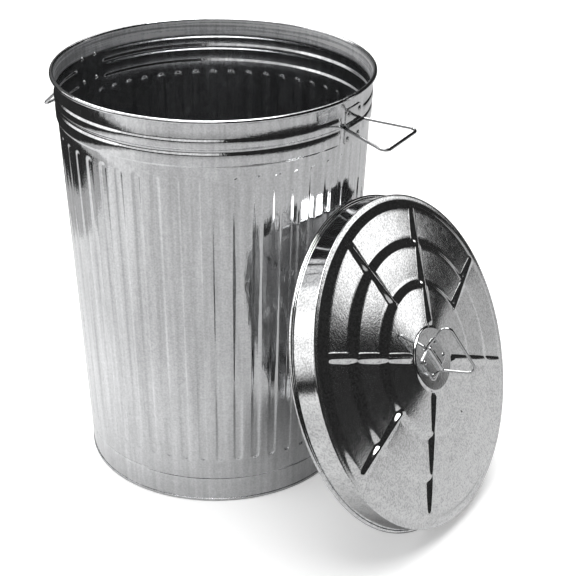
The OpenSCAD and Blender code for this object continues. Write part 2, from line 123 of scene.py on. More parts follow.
# makes a piece that rides on a body and stands for a node; wall is its sheet's thickness
def finishPiece(bm, name, body, material, node, place=None, wall=0.0, soften=0.0):
    bevelAngle, sharpAngle = math.radians(40), math.radians(50)
    if place is not None:
        bmesh.ops.transform(bm, matrix=place, verts=bm.verts)
    mesh = bpy.data.meshes.new(name)
    bm.to_mesh(mesh)
    bm.free()
    for face in mesh.polygons:
        face.use_smooth = True
    mesh.materials.append(material)
    piece = bpy.data.objects.new(name, mesh)
    scene.collection.objects.link(piece)
    if wall:
        solid = piece.modifiers.new("wall", "SOLIDIFY")
        solid.thickness = wall
        solid.offset = -1
        solid.use_even_offset = False
        if soften:
            edge = piece.modifiers.new("soften", "BEVEL")
            edge.width = soften
            edge.segments = 2
            edge.limit_method = "ANGLE"
            edge.angle_limit = bevelAngle
        # the wall is made here, so that its rims can be marked sharp
        made = piece.evaluated_get(bpy.context.evaluated_depsgraph_get())
        piece.data = bpy.data.meshes.new_from_object(made)
        piece.modifiers.clear()
        bpy.data.meshes.remove(mesh)
    piece.data.set_sharp_from_angle(angle=sharpAngle)
    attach(piece, body)
    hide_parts(node)


class NodeMaths:
    def __init__(self, tree):
        self.nodes, self.links = tree.nodes, tree.links

    def feed(self, socket, value):
        if isinstance(value, (int, float, tuple)):
            socket.default_value = value
        else:
            self.links.new(value, socket)

    def maths(self, operation, a, b=0.0):
        node = self.nodes.new("ShaderNodeMath")
        node.operation = operation
        self.feed(node.inputs[0], a)
        self.feed(node.inputs[1], b)
        return node.outputs[0]

    def product(self, first, *others):
        for factor in others:
            first = self.maths("MULTIPLY", first, factor)
        return first

    def vector(self, operation, a, b):
        node = self.nodes.new("ShaderNodeVectorMath")
        node.operation = operation
        self.feed(node.inputs[0], a)
        self.feed(node.inputs[1], b)
        return node.outputs["Value" if operation == "DOT_PRODUCT" else "Vector"]

    def split(self, source):
        node = self.nodes.new("ShaderNodeSeparateXYZ")
        self.links.new(source, node.inputs["Vector"])
        return node.outputs["X"], node.outputs["Y"], node.outputs["Z"]

    # distance from the Z axis
    def reach(self, x, y):
        return self.maths("SQRT", self.maths("ADD", self.product(x, x), self.product(y, y)))

    # a straight change from one value to the other, held outside low and high
    def spread(self, source, low, high, lowTo, highTo, kind="LINEAR"):
        node = self.nodes.new("ShaderNodeMapRange")
        node.interpolation_type = kind
        for name, value in (("From Min", low), ("From Max", high), ("To Min", lowTo), ("To Max", highTo)):
            node.inputs[name].default_value = value
        self.feed(node.inputs["Value"], source)
        return node.outputs["Result"]

    # the same with smooth ends
    def ramp(self, source, low, high, lowTo=0.0, highTo=1.0):
        return self.spread(source, low, high, lowTo, highTo, "SMOOTHSTEP")

    # a ramp from soft below a place to soft above it
    def edge(self, source, place, soft, lowTo=0.0, highTo=1.0):
        return self.ramp(source, place - soft, place + soft, lowTo, highTo)

    # 1 between low and high, and 0 outside them
    def between(self, source, low, high, soft):
        return self.product(self.edge(source, low, soft), self.edge(source, high, soft, 1.0, 0.0))

    # scale is one number, or one for each axis
    def noise(self, source, scale, detail):
        if isinstance(scale, tuple):
            node = self.nodes.new("ShaderNodeMapping")
            node.inputs["Scale"].default_value = scale
            self.links.new(source, node.inputs["Vector"])
            source, scale = node.outputs["Vector"], 1.0
        node = self.nodes.new("ShaderNodeTexNoise")
        node.inputs["Scale"].default_value = scale
        node.inputs["Detail"].default_value = detail
        self.links.new(source, node.inputs["Vector"])
        return node.outputs["Fac"]

    def bump(self, height, depth, normal=None):
        node = self.nodes.new("ShaderNodeBump")
        node.inputs["Distance"].default_value = depth
        self.links.new(height, node.inputs["Height"])
        if normal is not None:
            self.links.new(normal, node.inputs["Normal"])
        return node.outputs["Normal"]


# patterns that all the zinc has: scale per metre and detail, and how much they change its tone and dullness
zinc = {
    "spangle": 110.0, "grain": (340.0, 2.0), "cloud": (7.0, 5.0),
    "streak": ((110.0, 110.0, 3.0), 4.0), "ripple": ((60.0, 60.0, 14.0), 3.0),
    "noiseRange": (0.3, 0.7), "grainTone": 4, "spangleDull": (0.85, 1.15), "cloudDull": (0.85, 1.2),
}


# the can's inside is duller than its outside, most of all above the beads, where fine lines run round it.
# Painted shade darkens the inside wall below the collar, painted light brightens the collar, and the fine
# lines are painted as bright and dark streaks of sheen.
def paintInsideShadeAndSheen(net, place, look, light, dull):
    spot, rough = place.outputs["Object"], look["rough"]
    outward = net.vector("DOT_PRODUCT", place.outputs["Normal"], net.vector("MULTIPLY", spot, (1, 1, 0)))
    height = net.split(spot)[2]
    within = net.product(net.maths("LESS_THAN", outward, 0.0), net.maths("LESS_THAN", height, curlHeight))
    extra = net.ramp(height, *look["collar"], look["insideRough"] - rough, look["collarRough"] - rough)
    dull = net.maths("ADD", dull, net.product(within, extra))
    # painted shade darkens the inside wall below the collar, and painted light brightens the collar
    paintedShadeAndLight = net.ramp(height, *look["collar"], look["insidePaintedShade"] - 1, look["collarPaintedLight"] - 1)
    paintedShadeAndLight = net.maths("ADD", net.product(within, paintedShadeAndLight), 1.0)
    # the collar's fine lines, painted as bright and dark streaks of sheen
    linesAndSheen = net.ramp(net.noise(spot, *look["collarLines"]), *zinc["noiseRange"])
    linesAndSheen = net.product(net.maths("SUBTRACT", linesAndSheen, 0.5), 2 * look["collarLineAndSheenTone"])
    linesAndSheen = net.product(within, net.ramp(height, *look["collar"]), linesAndSheen)
    return net.product(light, net.maths("ADD", paintedShadeAndLight, linesAndSheen)), dull


# bright zinc: ripples and grain tilt the surface a little, and spangle, streaks, clouds and grain tone it.
# In a look, wave and grain are depths, and tone and streakTone are shares of the colour. The can's inside
# gets painted shade and light, and with an axis the faces turned against it get painted shade.
def zincMaterial(name, look, paintedShadeAxis=None):
    material = bpy.data.materials.new(name)
    material.use_nodes = True
    nodes, links = material.node_tree.nodes, material.node_tree.links
    shader = nodes["Principled BSDF"]
    shader.inputs["Metallic"].default_value = 1.0
    net = NodeMaths(material.node_tree)
    place = nodes.new("ShaderNodeTexCoord")
    spot = place.outputs["Object"]
    cells = nodes.new("ShaderNodeTexVoronoi")
    cells.inputs["Scale"].default_value = zinc["spangle"]
    links.new(spot, cells.inputs["Vector"])
    crystal = nodes.new("ShaderNodeSeparateColor")
    links.new(cells.outputs["Color"], crystal.inputs["Color"])
    streak = net.noise(spot, *zinc["streak"])
    cloud = net.noise(spot, *zinc["cloud"])
    grain = net.noise(spot, *zinc["grain"])
    rough, tone = look["rough"], look["tone"]
    light = net.spread(crystal.outputs["Red"], 0, 1, 1 - tone, 1 + tone)
    for pattern, change in ((streak, look["streakTone"]), (cloud, tone), (grain, zinc["grainTone"] * tone)):
        light = net.product(light, net.spread(pattern, *zinc["noiseRange"], 1 - change, 1 + change))
    least, most = zinc["spangleDull"]
    dull = net.product(net.spread(crystal.outputs["Green"], 0, 1, rough * least, rough * most),
                     net.spread(cloud, *zinc["noiseRange"], *zinc["cloudDull"]))
    if "insideRough" in look:
        light, dull = paintInsideShadeAndSheen(net, place, look, light, dull)
    if paintedShadeAxis:
        # painted shade: faces that look against this axis, which are the lid's underside, are darker
        along = net.vector("DOT_PRODUCT", place.outputs["Normal"], paintedShadeAxis)
        light = net.product(light, net.ramp(along, *look["under"], look["underShade"], 1.0))
    base = nodes.new("ShaderNodeVectorMath")
    base.operation = "SCALE"
    base.inputs[0].default_value = look["color"]
    links.new(light, base.inputs["Scale"])
    links.new(base.outputs["Vector"], shader.inputs["Base Color"])
    links.new(dull, shader.inputs["Roughness"])
    ripple = net.bump(net.noise(spot, *zinc["ripple"]), look["wave"])
    links.new(net.bump(grain, look["grain"], ripple), shader.inputs["Normal"])
    return material


can = {
    "height": 0.6645, "footRadius": 0.2175, "mouthRadius": 0.2464, "sheet": 0.0007, "rimCurl": 0.0034,
    # the upper and the lower bead from edge to edge, and how far from a seam they stop
    "beads": ((0.6165, 0.6350), (0.5900, 0.6145)), "beadRise": 0.0023, "beadFlank": 0.0050,
    "beadStop": 0.030, "beadEnd": 0.010,
    # the flutes of each half; below them the swage is a ring groove
    "fluteCount": 24, "fluteHalf": 0.0080, "fluteFlank": 0.0040, "fluteDepth": 0.0014, "fluteTurn": 1.2,
    "fluteEnds": 0.8, "fluteBottom": 0.078, "fluteTop": 0.5765,
    "swage": 0.0455, "swageHalf": 0.0038, "swageDepth": 0.0011,
    # the seams' laps, and the sheet's lower edge
    "lap": 0.009, "lapAbove": 0.009, "lapBelow": 0.003, "lapGap": 0.0003, "seamGap": 0.0004,
    "lapRows": (0.2, 0.4), "edge": 0.0011, "curlTurn": 118, "columnsPerFlute": 18,
    "look": {
        "color": (0.755, 0.76, 0.77), "rough": 0.10,
        "wave": 0.0006, "grain": 0.00005, "tone": 0.03, "streakTone": 0.14,
        # painted shade on the inside wall, painted light on the collar, and the collar's lines painted as
        # streaks of sheen
        "insideRough": 0.17, "insidePaintedShade": 0.82, "collar": (0.634, 0.640),
        "collarRough": 0.58, "collarPaintedLight": 1.15, "collarLineAndSheenTone": 0.42,
        "collarLines": ((5.0, 5.0, 240.0), 3.0),
    },
}

curlHeight = can["height"] - can["rimCurl"]
taper = (can["mouthRadius"] - can["footRadius"]) / curlHeight
wallLean = math.atan(taper)


def wallRadius(z):
    return can["footRadius"] + taper * z


rimCentre = wallRadius(curlHeight) - can["sheet"] + can["rimCurl"]
canZinc = zincMaterial("can zinc", can["look"])


# how far the wall stands in or out of its plain taper; turn is measured from a seam
def wallShape(turn, z):
    radius = wallRadius(z)
    pitch = math.pi / (can["fluteCount"] + 1)
    half, ends = can["fluteHalf"], can["fluteEnds"]
    place = turn - math.radians(can["fluteTurn"])
    nearest = min(max(round(place / pitch), 1), can["fluteCount"])
    across = (place - nearest * pitch) * radius
    # the flutes run out more gently at their ends than at their sides
    past = ends * max(can["fluteBottom"] + half / ends - z, z - can["fluteTop"] + half / ends, 0)
    shape = -can["fluteDepth"] * smooth((half - math.hypot(across, past)) / can["fluteFlank"])
    fromSeam = min(turn, math.pi - turn) * radius
    bead = can["beadRise"] * smooth((fromSeam - can["beadStop"]) / can["beadEnd"])
    for low, high in can["beads"]:
        shape += bead * smooth((z - low) / can["beadFlank"]) * smooth((high - z) / can["beadFlank"])
    shape -= can["swageDepth"] * hill((z - can["swage"]) / can["swageHalf"])
    return shape


# heights of the wall's rows, close together where it bends
def wallRows():
    flank, swageEdge, endAbove, endBelow = can["beadFlank"], 0.004, 0.013, 0.001
    (upperLow, upperHigh), (lowerLow, lowerHigh) = can["beads"]
    return ladder([
        (can["edge"], 3), (can["swage"] - swageEdge, 8), (can["swage"] + swageEdge, 2),
        (can["fluteBottom"] - endBelow, 11), (can["fluteBottom"] + endAbove, 7),
        (can["fluteTop"] - endAbove, 11), (can["fluteTop"] + endBelow, 1),
        (lowerLow, 6), (lowerLow + flank, 2), (lowerHigh - flank, 6), (lowerHigh, 1),
        (upperLow, 6), (upperLow + flank, 1), (upperHigh - flank, 6), (upperHigh, 2), (curlHeight, 0),
    ])


# a strip of sheet that lies under a seam
def lapStrip(bm, outline, angle, seamAngle):
    strip = bmesh.new()
    spinLine(strip, outline, angle, 8)
    faceAxis(strip)
    bmesh.ops.rotate(strip, verts=strip.verts, cent=(0, 0, 0),
                     matrix=Matrix.Rotation(seamAngle - angle / 2, 3, "Z"))
    addMesh(bm, strip)


def halfSheet(name, node, turned):
    inner = [(wallRadius(z) - can["sheet"], 0, z) for z in wallRows()]
    inner += arcPoints(rimCentre, curlHeight, can["rimCurl"], 180, -can["curlTurn"], 18)
    seam = can["seamGap"] / 2 / can["mouthRadius"]
    pitch = math.pi / (can["fluteCount"] + 1)
    bm = bmesh.new()
    spinLine(bm, inner, math.pi, (can["fluteCount"] + 1) * can["columnsPerFlute"])
    for vert in bm.verts:
        turn = abs(math.atan2(vert.co.y, vert.co.x))
        radius, z = math.hypot(vert.co.x, vert.co.y), vert.co.z
        # columns gather at the flutes' flanks
        place = 2 * math.tau * (turn - math.radians(can["fluteTurn"])) / pitch
        turn += math.sin(place) * pitch / math.tau / 4 * smooth(min(turn, math.pi - turn) / pitch)
        turn = min(max(turn, seam), math.pi - seam)
        if z < curlHeight and radius < wallRadius(z):
            radius += wallShape(turn, z)
        vert.co.x, vert.co.y = radius * math.cos(turn), radius * math.sin(turn)
    faceAxis(bm)
    lapHeights = (can["swage"] + can["lapAbove"], *can["lapRows"], curlHeight - can["lapBelow"])
    under = [(wallRadius(z) - 2 * can["sheet"] - can["lapGap"], 0, z) for z in lapHeights]
    lapStrip(bm, under, 2 * can["lap"] / can["mouthRadius"], math.pi)
    bmesh.ops.rotate(bm, verts=bm.verts, cent=(0, 0, 0), matrix=Matrix.Rotation(turned, 3, "Z"))
    finishPiece(bm, name, "can", canZinc, node, wall=can["sheet"])


halfSheet("frontSheet", "front_sheet", math.pi)
halfSheet("backSheet", "back_sheet", 0.0)
print("sheets made")

pan = {
    "floor": 0.037, "sheet": 0.0008, "bend": 0.004, "fold": 0.005, "foldCorner": 0.0005,
    "soften": 0.0003, "rows": (0.0, 0.05, 0.10, 0.15, 0.19), "flangeRows": (0.022, 0.012), "columns": 192,
}


# a flat pan whose flange goes down the wall and folds round its lower edge
def basePan():
    flange, sheet, bend = can["sheet"] + can["lapGap"], pan["sheet"], pan["bend"]
    inside, outside = wallRadius(0) - flange, wallRadius(0) + can["lapGap"]
    line = [(x, 0, pan["floor"]) for x in pan["rows"]]
    line += arcPoints(wallRadius(pan["floor"]) - flange - bend, pan["floor"] - bend, bend, 90, 0, 6)
    line += [(wallRadius(z) - flange, 0, z) for z in pan["flangeRows"]]
    line += [(inside, 0, 2 * sheet), (inside + sheet / 2, 0, sheet), (outside - sheet / 2, 0, sheet)]
    line += [(outside, 0, sheet + pan["foldCorner"]), (outside + taper * pan["fold"], 0, pan["fold"])]
    bm = bmesh.new()
    spinLine(bm, line, math.tau, pan["columns"], close=True)
    faceUp(bm)
    finishPiece(bm, "basePan", "can", canZinc, "base_pan",
                wall=sheet, soften=pan["soften"])


basePan()
print("base made")

# corners, bends and fillets are radii, and room is the clearance round the wire in its clip. The wire's two
# ends lie in the clip at endGap from its middle, and its bends start when it is clear of the clip's sides.
# Both angles are measured from hanging straight down.
handle = {
    "drop": 0.049, "wire": 0.005, "reach": 0.081, "width": 0.109, "corner": 0.011, "bend": 0.005,
    "rightAngle": 82.5, "leftAngle": 43.5,
    "clipWidth": 0.046, "clipHeight": 0.056, "clipSheet": 0.0015, "clipCorner": 0.006, "clipFillet": 0.0012,
    "clipSoften": 0.0002, "room": 0.00008, "rivetAcross": 0.033, "rivetUp": 0.039,
    "endGap": 0.003, "clear": 0.0008, "humpStart": 0.0015, "clipRows": 14, "wireSides": 20, "wireStep": 7,
    "clipLook": {
        "color": (0.72, 0.725, 0.73), "rough": 0.11,
        "wave": 0.0001, "grain": 0.00004, "tone": 0.03, "streakTone": 0.03,
    },
    "wireLook": {
        "color": (0.56, 0.565, 0.57), "rough": 0.13,
        "wave": 0.00005, "grain": 0.00003, "tone": 0.02, "streakTone": 0.03,
    },
}

handleHeight = can["height"] - handle["drop"]
clipZinc = zincMaterial("clip zinc", handle["clipLook"])
wireZinc = zincMaterial("wire zinc", handle["wireLook"])


# a plate along X with a hump over a wire along Y; curve is the radius that it is bent to, or 0
def clipPlate(bm, width, height, wire, curve):
    bore, rows = wire / 2 + handle["room"], handle["clipRows"]
    corner, fillet, gap = handle["clipCorner"], handle["clipFillet"], can["lapGap"]
    left = [(-x, 0, gap) for x in steps(height / 2, height / 2 - corner, 7)]
    left += [(-x, 0, gap) for x in steps(height / 2 - corner, bore + fillet, 3)]
    left += arcPoints(-bore - fillet, gap + fillet, fillet, -90, 0, 4)
    line = left + arcPoints(0, gap + wire / 2, bore, 180, 0, 14) + [(-x, 0, z) for x, y, z in reversed(left)]
    edges = onlyEdges(drawLine(bm, [(x, -width / 2, z) for x, y, z in line]))
    for i in range(rows):
        grown = bmesh.ops.extrude_edge_only(bm, edges=edges)["geom"]
        edges = onlyEdges(grown)
        bmesh.ops.translate(bm, vec=(0, width / rows, 0), verts=onlyVerts(grown))
    for vert in bm.verts:
        x, y, z = vert.co
        past = max(abs(x) - height / 2 + corner, 0)
        reach = width / 2 - corner + math.sqrt(max(corner ** 2 - past ** 2, 0))
        vert.co.y = y * reach / (width / 2)
        if curve:
            vert.co.z -= vert.co.y ** 2 / 2 / curve * (1 - smooth((z - gap) / handle["humpStart"]))
    faceUp(bm)
    bmesh.ops.reverse_faces(bm, faces=bm.faces)


# a tubular rivet; seat is the gap under its head, and the tail is its rolled end, as places out from the
# shank and up from the far side of the sheets
rivet = {
    "shank": 0.0045, "head": 0.0084, "rise": 0.0022, "seat": 0.00005, "headEdge": 0.0002,
    "hollow": 0.0015, "hollowDepth": 0.0014, "hollowCorner": 0.0003,
    "tail": ((0, -0.0001), (0.0006, -0.0002), (0.0012, -0.0008), (0.0009, -0.0013), (0.0002, -0.0014),
             (-0.0007, -0.0008), (-0.0009, 0.0004)),
    "tailHollow": 0.0006, "columns": 32,
    "look": {
        "color": (0.62, 0.625, 0.63), "rough": 0.12,
        "wave": 0.00005, "grain": 0.00003, "tone": 0.03, "streakTone": 0.03,
    },
}

rivetZinc = zincMaterial("rivet zinc", rivet["look"])


# grip is the thickness of the sheets that the rivet holds
def addRivet(bm, place, grip):
    radius, rise, shank = rivet["head"] / 2, rivet["rise"], rivet["shank"] / 2
    edge, seat, half = rivet["headEdge"], grip + rivet["seat"], rivet["headEdge"] / 2
    dome = (radius ** 2 + rise ** 2) / 2 / rise
    top = seat + rise
    opening = math.asin(radius / dome)
    crown = [(dome * math.sin(opening * i / 8), 0, top - dome + dome * math.cos(opening * i / 8))
             for i in range(4, 9)]
    crown[-1] = (radius - edge, 0, crown[-1][2] + half)
    well, corner, floor = rivet["hollow"], rivet["hollowCorner"], top - rivet["hollowDepth"]
    line = [(0, 0, floor), (well - corner, 0, floor), (well, 0, floor + corner)]
    line += [(well, 0, crown[0][2] - half)] + crown
    line += [(radius, 0, grip + half), (radius - edge, 0, seat), (shank, 0, seat)]
    line += [(shank + out, 0, up) for out, up in rivet["tail"]] + [(0, 0, rivet["tailHollow"])]
    one = bmesh.new()
    spinLine(one, line, math.tau, rivet["columns"], close=True)
    bmesh.ops.recalc_face_normals(one, faces=one.faces)
    bmesh.ops.transform(one, matrix=place, verts=one.verts)
    addMesh(bm, one)


# a wire bent from one end: runs and bends follow one another in the XY plane
def bendWire(bm, wire, start, heading, moves):
    sides, bendStep = handle["wireSides"], math.radians(handle["wireStep"])
    ring = bmesh.ops.create_circle(bm, cap_ends=True, segments=sides, radius=wire / 2)["verts"]
    for angle, axis in ((math.pi / 2, "Y"), (heading, "Z")):
        bmesh.ops.rotate(bm, verts=ring, cent=(0, 0, 0), matrix=Matrix.Rotation(angle, 3, axis))
    bmesh.ops.translate(bm, vec=start, verts=ring)
    spot = Vector(start)
    edges = list({e for v in ring for e in v.link_edges})
    for kind, amount, radius in moves:
        along = Vector((math.cos(heading), math.sin(heading), 0))
        if kind == "run":
            grown = bmesh.ops.extrude_edge_only(bm, edges=edges)["geom"]
            bmesh.ops.translate(bm, vec=along * amount, verts=onlyVerts(grown))
            spot += along * amount
        else:
            centre = spot + Vector((-along.y, along.x, 0)) * radius * math.copysign(1, amount)
            count = max(round(abs(amount) / bendStep), 2)
            grown = bmesh.ops.spin(bm, geom=edges, cent=centre, axis=(0, 0, 1), angle=amount,
                                   steps=count)["geom_last"]
            spot = centre + Matrix.Rotation(amount, 3, "Z") @ (spot - centre)
            heading += amount
        edges = onlyEdges(grown)
    bmesh.ops.contextual_create(bm, geom=edges)
    bmesh.ops.recalc_face_normals(bm, faces=bm.faces)


# a drop handle that turns about Y, with its legs in the plane of X and Y
def handleWire(bm, wire, clipWidth, reach, width, corner):
    start, bend, leave = handle["endGap"], handle["bend"], clipWidth / 2 + handle["clear"]
    # the spread depends on itself, so it is worked out a few times from a first guess
    spread = math.radians(15)
    for i in range(5):
        spread = math.atan2(width / 2 - leave - bend * math.tan(math.pi / 4 - spread / 2), reach)
    first, second = bend * math.tan(math.pi / 4 - spread / 2), corner * math.tan(math.pi / 4 + spread / 2)
    leg = reach / math.cos(spread) - first - second
    half = [("run", leave - start, 0), ("bend", spread - math.pi / 2, bend), ("run", leg, 0),
            ("bend", -math.pi / 2 - spread, corner)]
    moves = half + [("run", width - 2 * second, 0)] + half[::-1]
    bendWire(bm, wire, (0, start, 0), math.pi / 2, moves)


# Z looks out of the wall and X down it
def onWall(turn, height):
    return rotation(turn, "Z") @ shift(wallRadius(height), 0, height) @ rotation(math.pi / 2 + wallLean, "Y")


def sideHandle(side, turn, angle):
    place, radius = onWall(turn, handleHeight), wallRadius(handleHeight)
    bm = bmesh.new()
    clipPlate(bm, handle["clipWidth"], handle["clipHeight"], handle["wire"], radius)
    finishPiece(bm, side + "Clip", "can", clipZinc, side + "_handle_clip", place,
                wall=handle["clipSheet"], soften=handle["clipSoften"])
    bm = bmesh.new()
    swing = handle["rivetAcross"] / 2 / radius
    grip = can["sheet"] + can["lapGap"] + handle["clipSheet"]
    for across in (-swing, swing):
        for up in (-handle["rivetUp"] / 2, handle["rivetUp"] / 2):
            addRivet(bm, onWall(turn + across, handleHeight + up) @ shift(0, 0, -can["sheet"]), grip)
    finishPiece(bm, side + "Rivets", "can", rivetZinc, side + "_clip_rivets")
    bm = bmesh.new()
    handleWire(bm, handle["wire"], handle["clipWidth"], handle["reach"], handle["width"], handle["corner"])
    swung = (place @ shift(0, 0, can["lapGap"] + handle["wire"] / 2)
             @ rotation(-wallLean - math.radians(angle), "Y"))
    finishPiece(bm, side + "Handle", side + "_handle", wireZinc,
                side + "_handle_bail", swung)


sideHandle("right", 0.0, handle["rightAngle"])
sideHandle("left", math.pi, handle["leftAngle"])
print("side handles made")

# room is between the rim and the skirt, ring is the face's flat border, and touch is the gap to the wall
lid = {
    "sheet": 0.0007, "room": 0.0042, "skirt": 0.0395, "flare": 0.0018, "curl": 0.0028,
    "fold": 0.005, "faceBend": 0.0012, "ring": 0.0085, "riserWidth": 0.015, "riserRise": 0.0068,
    "outerPanel": 0.046, "middlePanel": 0.050, "panelRise": 0.0015, "crownRise": 0.0035,
    "boss": 0.0485, "bossRise": 0.003,
    "ribs": 8, "ribClear": 0.0015, "ribGap": 0.008, "ribTurn": 65, "ribHalf": 0.0080,
    "ribCrest": 0.34, "ribFoot": 0.22, "ribEnd": 0.002, "columnsPerRib": 56, "gather": 0.6,
    "lap": 0.014, "lapAbove": 0.001, "seamTurn": 150, "curlTurn": 118, "skirtColumns": 288,
    "tilt": 22.6, "azimuth": -2.8, "touch": 0.0003,
    "look": {
        "color": (0.86, 0.865, 0.87), "rough": 0.09,
        "wave": 0.00003, "grain": 0.00004, "tone": 0.07, "streakTone": 0.03,
        # painted shade on the lid's underside
        "under": (-0.7, -0.4), "underShade": 0.6,
    },
}

# clipTurn turns the clip on the boss, and lean is how far the handle is from standing straight out
lidHandle = {
    "clipWidth": 0.045, "clipHeight": 0.057, "rivetAcross": 0.029, "rivetUp": 0.044,
    "wire": 0.0045, "reach": 0.048, "width": 0.110, "corner": 0.010, "clipTurn": 112, "lean": 19,
}


def skirtRadius(z):
    return rimCentre + can["rimCurl"] + lid["room"] + lid["flare"] * (1 - z / lid["skirt"])


skirtCentre = skirtRadius(0) + lid["curl"]
faceRadius = skirtRadius(lid["skirt"] - lid["fold"]) + 2 * lid["sheet"] + can["lapGap"]
faceHeight = lid["skirt"] + lid["sheet"]
bossFoot = lid["boss"] + lid["bossRise"]
riserOuter = [faceRadius - lid["ring"]]
riserTop = [faceHeight + lid["riserRise"]]
for panel in ("outerPanel", "middlePanel"):
    riserOuter.append(riserOuter[-1] - lid["riserWidth"] - lid[panel])
    riserTop.append(riserTop[-1] + lid["panelRise"] + lid["riserRise"])
riserInner = [r - lid["riserWidth"] for r in riserOuter]
bossHeight = riserTop[2] + lid["crownRise"] + lid["bossRise"]
ribSlope = (riserTop[2] - riserTop[1]) / (riserInner[1] - riserInner[2])

# the lid stands on its wired edge and leans on the wall
tilt = math.radians(lid["tilt"])
lidHeight = skirtCentre * math.cos(tilt) + lid["curl"]
touchHeight = lidHeight + skirtCentre * math.cos(tilt)
lidOut = (wallRadius(touchHeight) + (lid["touch"] + lid["curl"]) / math.cos(wallLean)
          + skirtCentre * math.sin(tilt))
lidPlace = (rotation(math.radians(lid["azimuth"]), "Z") @ shift(lidOut, 0, lidHeight)
            @ rotation(math.pi / 2 - tilt, "Y") @ rotation(math.pi / 2, "Z"))
lidZinc = zincMaterial("lid zinc", lid["look"], tuple(lidPlace.to_3x3() @ Vector((0, 0, 1))))


# height of the pressed face before its ribs
def faceShape(radius):
    if radius > riserOuter[0]:
        return faceHeight
    low = faceHeight
    for i, (outer, inner, top) in enumerate(zip(riserOuter, riserInner, riserTop)):
        if radius > inner:
            return low + (top - low) * (0.5 - 0.5 * math.cos(math.pi * (outer - radius) / (outer - inner)))
        nextOuter = riserOuter[i + 1] if i < 2 else bossFoot
        rise = lid["panelRise"] if i < 2 else lid["crownRise"]
        if radius > nextOuter:
            return top + rise * (inner - radius) / (inner - nextOuter)
        low = top + rise
    return low + lid["bossRise"] * smooth((bossFoot - radius) / lid["bossRise"])


# section of a rib: a rounded crest, flat sides and a soft foot
def ridge(away):
    crest, foot = lid["ribCrest"], lid["ribFoot"]
    if away < crest:
        height = 1 - foot / 2 - crest / 2 - away ** 2 / crest / 2
    elif away < 1 - foot:
        height = 1 - foot / 2 - away
    else:
        height = max(1 - away, 0) ** 2 / foot / 2
    return height / (1 - foot / 2 - crest / 2)


# height of the face with its ribs, of which every second one is shorter
def ribShape(x, y, floor):
    height = floor
    end = riserInner[0] - lid["ribEnd"]
    for i in range(lid["ribs"]):
        turn = math.radians(lid["ribTurn"] + i * 360 / lid["ribs"])
        along = x * math.cos(turn) + y * math.sin(turn)
        across = -x * math.sin(turn) + y * math.cos(turn)
        if along < 0 or abs(across) > lid["ribHalf"]:
            continue
        start = bossFoot + lid["ribGap"] if i % 2 == 0 else riserInner[2] + lid["riserWidth"] / 2
        past = max(start - along, along - end, 0)
        crest = riserTop[1] + lid["ribClear"] - ribSlope * (min(max(along, start), end) - riserInner[1])
        away = math.hypot(across, past) / lid["ribHalf"]
        height = max(height, floor + (crest - floor) * ridge(away))
    return height


def makeLidFace():
    bend, bossEdge, ribStart, bendMargin, foldRow = lid["faceBend"], 0.001, 0.0065, 0.0001, 0.003
    rows = ladder([
        (0.0, 4), (lid["boss"] - bossEdge, 6), (bossFoot + bossEdge, 7),
        (bossFoot + lid["ribGap"] + ribStart, 8), (riserInner[2], 8), (riserOuter[2], 10),
        (riserInner[1], 7), (riserOuter[1], 9), (riserInner[0], 9), (riserOuter[0], 3),
        (faceRadius - bend, 0),
    ])
    line = [(r, 0, faceHeight) for r in rows]
    line += arcPoints(faceRadius - bend, faceHeight - bend, bend, 90, 0, 5)
    line += [(faceRadius, 0, z) for z in (faceHeight - foldRow, faceHeight - lid["fold"])]
    bm = bmesh.new()
    spinLine(bm, line, math.tau, lid["ribs"] * lid["columnsPerRib"], close=True)
    pitch = math.tau / lid["ribs"]
    first = math.radians(lid["ribTurn"])
    for vert in bm.verts:
        radius = math.hypot(vert.co.x, vert.co.y)
        # columns gather at the ribs
        turn = math.atan2(vert.co.y, vert.co.x) - first
        turn += first - lid["gather"] * math.sin(math.tau * turn / pitch) * pitch / math.tau
        vert.co.x, vert.co.y = radius * math.cos(turn), radius * math.sin(turn)
        if radius < faceRadius - bend - bendMargin:
            vert.co.z = ribShape(vert.co.x, vert.co.y, faceShape(radius))
    faceUp(bm)
    finishPiece(bm, "lidFace", "lid", lidZinc, "lid_face", lidPlace, wall=lid["sheet"])


def makeLidSkirt():
    top = lid["skirt"] - can["lapGap"]
    line = arcPoints(skirtCentre, 0, lid["curl"], lid["curlTurn"], -180, 18)[:-1]
    line += [(skirtRadius(z), 0, z) for z in steps(0.0, top, 6) + [top]]
    bm = bmesh.new()
    spinLine(bm, line, math.tau - can["seamGap"] / skirtCentre, lid["skirtColumns"])
    faceAxis(bm)
    inset = lid["sheet"] + can["lapGap"]
    under = [(skirtRadius(z) - inset, 0, z) for z in steps(lid["curl"] + lid["lapAbove"], top, 4) + [top]]
    lapStrip(bm, under, 2 * lid["lap"] / skirtCentre, 0)
    place = lidPlace @ rotation(math.radians(lid["seamTurn"]), "Z")
    finishPiece(bm, "lidSkirt", "lid", lidZinc, "lid_skirt", place, wall=lid["sheet"])


